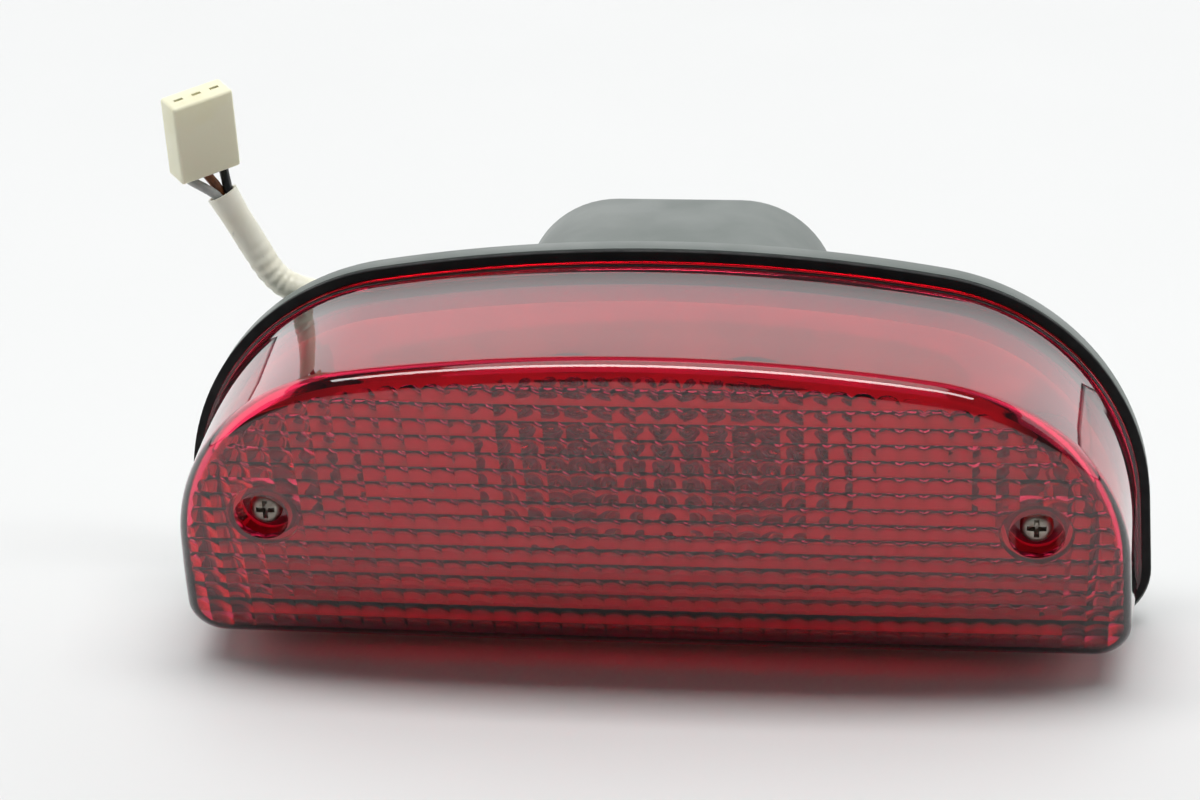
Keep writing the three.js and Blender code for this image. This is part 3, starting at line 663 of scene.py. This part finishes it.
def pod_block():
    """The rear pod, tapered a little, with a well rounded back edge."""
    walls = [(0, 9.3), (0, 12), (0, 14), (-POD_TAPER / 2, 30), (-POD_TAPER, 50)]
    turn = pod_back_edge(-POD_TAPER, POD_ROUND, POD_BACK - POD_ROUND, 8)[1:]
    return loft([at(pod_outline(offset), y) for offset, y in walls + turn])


def make_housing():
    housing = join(housing_block(), pod_block())
    mouth = combine("INTERSECT", prism(pod_outline(-POD_WALL), 5, 13), prism(lens_outline(-BOWL_INSET), 4, 14))
    inner_turn = pod_back_edge(-POD_WALL - POD_TAPER, POD_INNER_ROUND,
                               POD_BACK - POD_WALL - POD_INNER_ROUND, 5)
    pod_hollow = loft([at(pod_outline(offset), y) for offset, y in [(-POD_WALL, 12)] + inner_turn])
    housing = cut(housing, prism(lens_outline(-BOWL_INSET), 0, BOWL_FLOOR), mouth, pod_hollow)
    for side in SIDES.values():
        pillar_x, stud_x, bulb_x = side * SCREW_X, side * STUD_X, side * BULB_X
        collar = cut(rod(COLLAR_RADIUS, bulb_x, BULB_Z, 43.5, 53), rod(COLLAR_BORE, bulb_x, BULB_Z, 42, 52.3),
                     box((bulb_x - 15, bulb_x + 15), (46.3, 52.3), (BULB_Z - 5, BULB_Z + 5)))
        rib = box(sorted((side * 36.8, side * 55)), (11, 16.5), (44, 46))
        foot = lathe([(11.5, 11.5), (10.2, 12.3), (9.4, 13.4), (9, 15), (9, 16.6), (8.6, 17)], stud_x, STUD_Z)
        posts = [rod(2.5, side * POST_X, z, 2.8, 10, 20) for z in POST_HEIGHTS]
        pillar = rod(PILLAR_RADIUS, pillar_x, SCREW_Z, PILLAR_FRONT, 10, 40, 0.4)
        housing = join(housing, pillar, foot, collar, rib, *posts)
        insert_bore = rod(3.1, pillar_x, SCREW_Z, -31, -18.3)
        screw_bore = rod(SCREW_HOLE, pillar_x, SCREW_Z, -31, -12, 24)
        housing = cut(housing, insert_bore, screw_bore, rod(STUD_HOLE, stud_x, STUD_Z, 0, 18))
    exit_hole = swing(rod(5.2, 0, 0, -5, 5), math.pi / 2, GROMMET_PLACE)
    dress(cut(housing, exit_hole), "grey_housing", "housing", "root", "housing")


def make_reflector():
    """A shallow tray with a floor that runs forward, and a bowl round each bulb."""
    outside = ((-6, -9), (-6, 1.7), (-6.3, 2.3), (-7, 2.5))
    inside = ((-7.2, -10), (-7.2, -0.2), (-7.7, 0.7), (-9, 1))
    tray, hollow = (loft([at(lens_outline(reach), y) for reach, y in skin]) for skin in (outside, inside))
    tray = join(cut(tray, hollow), box(*REFLECTOR_FLOOR))
    spread, rise = MOUTH_RADIUS - THROAT_RADIUS, THROAT_Y - MOUTH_Y
    tools = []
    for side in SIDES.values():
        x = side * BULB_X
        bowl = [(THROAT_RADIUS + spread * math.sqrt((THROAT_Y - y) / rise), y)
                for y in (MOUTH_Y, 3, 5, 7, 9, 11, 12.5, 13.7, 14.5, THROAT_Y)]
        tray = join(tray, lathe([(r + 1.2, y) for r, y in bowl], x, BULB_Z, 64))
        tools.append(lathe([(MOUTH_RADIUS, 0.5)] + bowl + [(THROAT_RADIUS, 16)], x, BULB_Z, 64))
        tools.append(rod(7.1, side * SCREW_X, SCREW_Z, -20, 20))
    dress(cut(tray, *tools), "bulb_reflector", "reflector", "root", "reflector")


# ---- fasteners ----------------------------------------------------------------------------------

def cross_recess(x, z, y_front, depth):
    """A tapered cross for a driver."""
    levels = ((y_front - 0.5, 2.35, 0.62), (y_front + depth * 0.6, 1.75, 0.45), (y_front + depth, 0.7, 0.3))
    rings = []
    for y, reach, half in levels:
        quarter = [(half, reach), (half, half)]
        ring = []
        for turn in range(4):
            c, s = round(math.cos(turn * math.pi / 2)), round(math.sin(turn * math.pi / 2))
            ring += [(x + a * c + b * s, y, z - a * s + b * c) for a, b in [(-half, reach)] + quarter]
        rings.append(ring)
    return loft(rings)


def make_lens_screws():
    head = [(0.02, SCREW_FRONT), (1.4, -36.15), (2.4, -35.98), (3.0, -35.7), (3.4, -35.25), (3.6, -34.6),
            (3.6, -34.1), (3.5, -33.85), (3.4, -33.8), (2.0, -33.8)]
    turns, half_pitch = 19, 0.475
    thread = [(2.0 - 0.22 * (i % 2), -32.6 + i * half_pitch) for i in range(turns * 2)]
    ring = [(2.3, -33.5), (3.1, -33.5), (3.3, -33.3), (3.3, -32.9), (3.1, -32.7), (2.3, -32.7)]
    for name, side in SIDES.items():
        x = side * SCREW_X
        screw = lathe(head + [(2.0, -32.8)] + thread + [(1.2, -14)], x, SCREW_Z, 40)
        screw = cut(screw, cross_recess(x, SCREW_Z, SCREW_FRONT, 1.7))
        dress(screw, f"pan_screw_{name}", "steel", f"lens_screw_{name}", f"lens_screw_{name}")
        seal = lathe(ring, x, SCREW_Z, 40, loop=True)
        dress(seal, f"head_seal_{name}", "rubber", "root", f"screw_seal_{name}")


def threaded(radius, x, z, y_front, y_back, pitch, depth, sides=32, steps=6):
    """A rod along Y with a helical thread."""
    levels = round((y_back - y_front) / pitch * steps)
    rings = []
    for i in range(levels + 1):
        y = y_front + (y_back - y_front) * i / levels
        fade = min(1, (levels - i) / steps)
        ring = []
        for k in range(sides):
            wave = abs(((y / pitch - k / sides) % 1) * 2 - 1)
            reach = radius - depth * (1 - (1 - wave) * fade)
            angle = 2 * math.pi * k / sides
            ring.append((x + reach * math.cos(angle), y, z + reach * math.sin(angle)))
        rings.append(ring)
    return loft(rings)


def hexagon(across, x, z, y_front, y_back, turn=0.0):
    """A hexagonal prism along Y whose corners are turned off at both ends."""
    corner = across / math.sqrt(3)
    ends = [around((x, z), turn + i * math.pi / 3, corner) for i in range(6)]
    blank = prism(ends, y_front, y_back)
    slope = (corner - across / 2) * 0.8
    turned = lathe([(across / 2 - 0.1, y_front - 0.02), (corner + 0.02, y_front + slope),
                    (corner + 0.02, y_back - slope), (across / 2 - 0.1, y_back + 0.02)], x, z, 48)
    return combine("INTERSECT", blank, turned)


def make_studs():
    ring = [(STUD_HOLE, 20.3), (7.8, 20.3), (8, 20.5), (8, 21.6), (7.8, 21.8), (STUD_HOLE, 21.8)]
    nut_bore = [(3.9, 22), (STUD_HOLE, 22.7), (STUD_HOLE, 26.5), (3.9, 27.2)]
    for name, side in SIDES.items():
        x = side * STUD_X
        stud = join(hexagon(HEX_ACROSS, x, STUD_Z, 5.3, 9),
                    threaded(STUD_RADIUS, x, STUD_Z, 8.5, STUD_END, pitch=1, depth=0.35))
        dress(stud, f"threaded_stud_{name}", "steel", "root", f"mount_stud_{name}")
        washer = lathe(ring, x, STUD_Z, 56, loop=True)
        dress(washer, f"flat_washer_{name}", "steel", "root", f"stud_washer_{name}")
        bore = lathe(nut_bore, x, STUD_Z, 40)
        nut = cut(hexagon(HEX_ACROSS, x, STUD_Z, *NUT_FACES, NUT_TURN), bore)
        dress(nut, f"hex_nut_{name}", "steel", f"stud_nut_{name}", f"stud_nut_{name}")


# ---- bulbs and springs --------------------------------------------------------------------------

def bulb_envelope(x):
    """Glass globe and neck, open at the end that the base covers."""
    def skin(radius, neck):
        last = math.pi - math.asin(neck / radius)
        angles = [last * i / 24 for i in range(25)]
        globe = [(max(radius * math.sin(a), 0.01), GLOBE_Y - radius * math.cos(a)) for a in angles]
        return globe + [(neck, 20)]
    outer, inner = skin(12.5, 6.4), skin(11.7, 5.6)
    return lathe(outer + inner[::-1], x, BULB_Z, 48, loop=True)


def bulb_base(x):
    """Brass cup with the two bayonet pins, which stand at different depths."""
    cup = [(6.8, 21), (6.8, 13.9), (7.0, 13.5), (7.4, 13.6), (7.5, 14), (7.5, 15.4), (7.3, 15.7), (7.5, 16),
           (7.5, 29.6), (7.3, 30.4), (6.6, 31), (0.01, 31), (0.01, 21)]
    base = lathe(cup, x, BULB_Z, 48, loop=True)
    for side, y in ((1, 22), (-1, 19)):
        pin = rod(1, 0, 0, 6.95, 8.9, 24, 0.25)
        base = join(base, swing(pin, -side * math.pi / 2, (x, y, BULB_Z)))
    return base


def coil(centre, direction, length, radius, wire, turns):
    """A close helix along a direction."""
    axis = Vector(direction).normalized()
    across = axis.orthogonal().normalized()
    up = axis.cross(across)
    steps = turns * 10
    path = []
    for i in range(steps + 1):
        angle = 2 * math.pi * turns * i / steps
        path.append(Vector(centre) + axis * length * (i / steps - 0.5)
                    + (across * math.cos(angle) + up * math.sin(angle)) * radius)
    return tube(path, wire, 6)


def bulb_mount(x):
    """Glass stem with its wires, and the tail and brake filaments."""
    stem = lathe([(0.01, 6), (1.8, 6.1), (2.3, 6.8), (2.4, 9), (3, 13), (3, 20.5), (0.01, 20.7)], x, BULB_Z, 32)
    for z, y in ((-3, -9), (0, -5), (3, -9)):
        leg = [(x + z / 3, 8, BULB_Z + z * 0.4), (x + z / 2, 3, BULB_Z + z * 0.8),
               (x + z / 2, y, BULB_Z + z * 0.9)]
        stem = join(stem, tube(smooth_path(leg, 6), 0.3, 10))
    for y in (-8.6, -4.6):
        stem = join(stem, coil((x, y, BULB_Z), (0.5, 0, 0.86), 6.6, 0.45, 0.14, 9))
    return stem


def make_bulbs():
    for name, side in SIDES.items():
        x, body = side * BULB_X, f"bulb_{name}"
        dress(bulb_envelope(x), f"bulb_globe_{name}", "glass", body, f"bulb_glass_{name}")
        dress(bulb_base(x), f"bulb_cap_{name}", "brass", body, f"bulb_base_{name}")
        dress(bulb_mount(x), f"bulb_stem_{name}", "bulb_mount", body, f"bulb_filaments_{name}")
        turns = [Vector((x + SPRING_RADIUS * math.cos(a), y, BULB_Z + SPRING_RADIUS * math.sin(a)))
                 for a, y in spring_line()]
        spring = tube(turns, SPRING_WIRE, 10)
        dress(spring, f"coil_spring_{name}", "bright_steel", "root", f"contact_spring_{name}")
        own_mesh(spring)


def spring_line():
    """Angle and depth along the contact spring, with its end turns lying flat."""
    steps, turns = 24 * SPRING_TURNS, SPRING_TURNS
    line = []
    for i in range(steps + 1):
        share = i / steps
        rise = min(max((share * turns - 0.8) / (turns - 1.6), 0), 1)
        y = SPRING_FRONT + 0.4 * share + (SPRING_BACK - SPRING_FRONT - 0.4) * rise
        line.append((2 * math.pi * turns * share, y))
    return line


# ---- wiring -------------------------------------------------------------------------------------

def make_grommet():
    profile = [(3.9, -3.1), (4.2, -3.4), (6.4, -3.4), (6.9, -2.9), (7, -2.2), (6.9, -0.8), (6.5, -0.3),
               (4.9, -0.3), (4.9, 3), (5.6, 3), (6, 3.3), (6, 4.6), (5.6, 5), (4.2, 5), (3.9, 4.7)]
    grommet = swing(lathe(profile, 0, 0, 40, loop=True), -math.pi / 2, GROMMET_PLACE)
    dress(grommet, "wire_grommet", "rubber", "root", "lead_grommet")


def sleeve_radius(along, angle):
    """The sleeve is puckered where it bends up behind the rim, and opens a little at its end."""
    bend = math.exp(-(((along - 0.72) / 0.1) ** 2))
    pucker = 0.14 * math.sin(along * 190) * (0.5 + 0.5 * math.cos(angle))
    mouth = 0.25 * max(0, (along - 0.93) / 0.07)
    waver = 0.1 * noise.noise(Vector((along * 9, math.cos(angle), math.sin(angle))))
    return SLEEVE_RADIUS + bend * (0.25 * math.cos(2 * angle) + pucker) + mouth + waver


def make_sleeve(with_pieces):
    route = [Vector(p) / MM for p in SLEEVE_ROUTE]
    path = smooth_path(route, 10)
    outside = sweep(path, sleeve_radius, 32)
    bore = sweep(path, lambda along, angle: sleeve_radius(along, angle) - SLEEVE_WALL, 32)
    sleeve = loft(outside + bore[:-SLEEVE_BORE - 1:-1])
    dress(sleeve, "pvc_sleeve", "sleeve", "root", "lead_sleeve", sharp=50)


def connector_matrix():
    """Turns the connector, which is made upright at the origin, and moves it to its place."""
    tilt, lean, turn = CONNECTOR_TURN
    rotation = Matrix.Rotation(turn, 4, "Z") @ Matrix.Rotation(tilt, 4, "X") @ Matrix.Rotation(lean, 4, "Y")
    return Matrix.Translation(CONNECTOR_PLACE * MM) @ rotation


def make_connector():
    width, depth, height, pitch = (CONNECTOR[k] for k in ("width", "depth", "height", "pitch"))
    shell = box((-width / 2, width / 2), (-depth / 2, depth / 2), (0, height))
    bevel = shell.modifiers.new("bevel", "BEVEL")
    bevel.width, bevel.segments = 0.8 * MM, 4
    apply_modifiers(shell)
    for i in (-1, 0, 1):
        x = i * pitch
        shell = cut(shell, box((x - 1.6, x + 1.6), (-1.6, 1.6), (-1, height - 2)),
                    box((x - 1.1, x + 1.1), (-0.45, 0.45), (2, height + 1)))
    shell.data.transform(connector_matrix())
    return dress(shell, "nylon_connector", "nylon", "root", "connector_housing")


def make_lead_wires():
    """From inside the sleeve's open end into each of the connector's cavities."""
    end, before = (Vector(p) / MM for p in (SLEEVE_ROUTE[-1], SLEEVE_ROUTE[-2]))
    along = (end - before).normalized()
    spread = Vector((1, 0.9, 0))
    spread = (spread - along * spread.dot(along)).normalized()
    aside = along.cross(spread)
    place = connector_matrix()
    wires = []
    for lane, name in enumerate(WIRE_NAMES, -1):
        tuck = 0.9 if lane == 0 else -0.4
        into = [(place @ (Vector((lane * CONNECTOR["pitch"], 0, depth)) * MM)) / MM for depth in (-0.8, 1, 4)]
        packed = spread * lane * 1.35 + aside * tuck
        route = [end - along * 12 + packed, end - along * 5 + packed, end - along * 0.5 + packed * 1.15,
                 end + along * 2 + spread * lane * 2.4 + aside * tuck * 0.6] + into
        wire = tube(smooth_path(route, 8), WIRE_RADIUS, 16)
        wires.append(dress(wire, f"pvc_wire_{name}", f"wire_{name}", "root", f"lead_wire_{name}"))
    return wires


def make_inner_wires():
    """From behind the left socket to the grommet, and from one socket to the other."""
    for lane, name in enumerate(WIRE_NAMES, -1):
        z = BULB_Z + lane * 3
        end_z = GROMMET_Z + lane * 2.45
        route = [(-22, 50, z), (-27, 50, z), (-31, 49.6, z), (-33, 47, z + 1), (-33, 43, z + 4),
                 (-31.6, 38.5, z + 8.5), (-30.2, 34.5, end_z - 0.8), (-31.6, 32.3, end_z),
                 (-34.5, 32, end_z), (-40, 32, end_z)]
        wire = tube(smooth_path(route, 6), INNER_WIRE_RADIUS)
        dress(wire, f"pod_wire_{name}", f"wire_{name}", "root", f"inner_wire_{name}")
        bridge = tube(smooth_path([(-18, 50, z), (0, 50.3, z), (22, 50, z)], 8), INNER_WIRE_RADIUS)
        dress(bridge, f"link_wire_{name}", f"wire_{name}", "root", f"bridge_wire_{name}")


def paint_cad_nodes():
    """CAD nodes whose shape is right take a procedural material."""
    slots = {s["node"]: s["material_slot"] for s in frame["record"]["subparts"]}
    for name, node in frame["nodes"].items():
        node.data.materials.clear()
        node.data.materials.append(PAINTS[slots[name]])


make_camera()
PAINTS = make_paints()
make_studio()
paint_cad_nodes()
connector = make_connector()
make_sleeve([connector, *make_lead_wires(), *(f"terminal_{name}" for name in WIRE_NAMES)])
make_lens()
make_gasket()
make_housing()
make_reflector()
make_lens_screws()
make_studs()
make_bulbs()
make_grommet()
make_inner_wires()
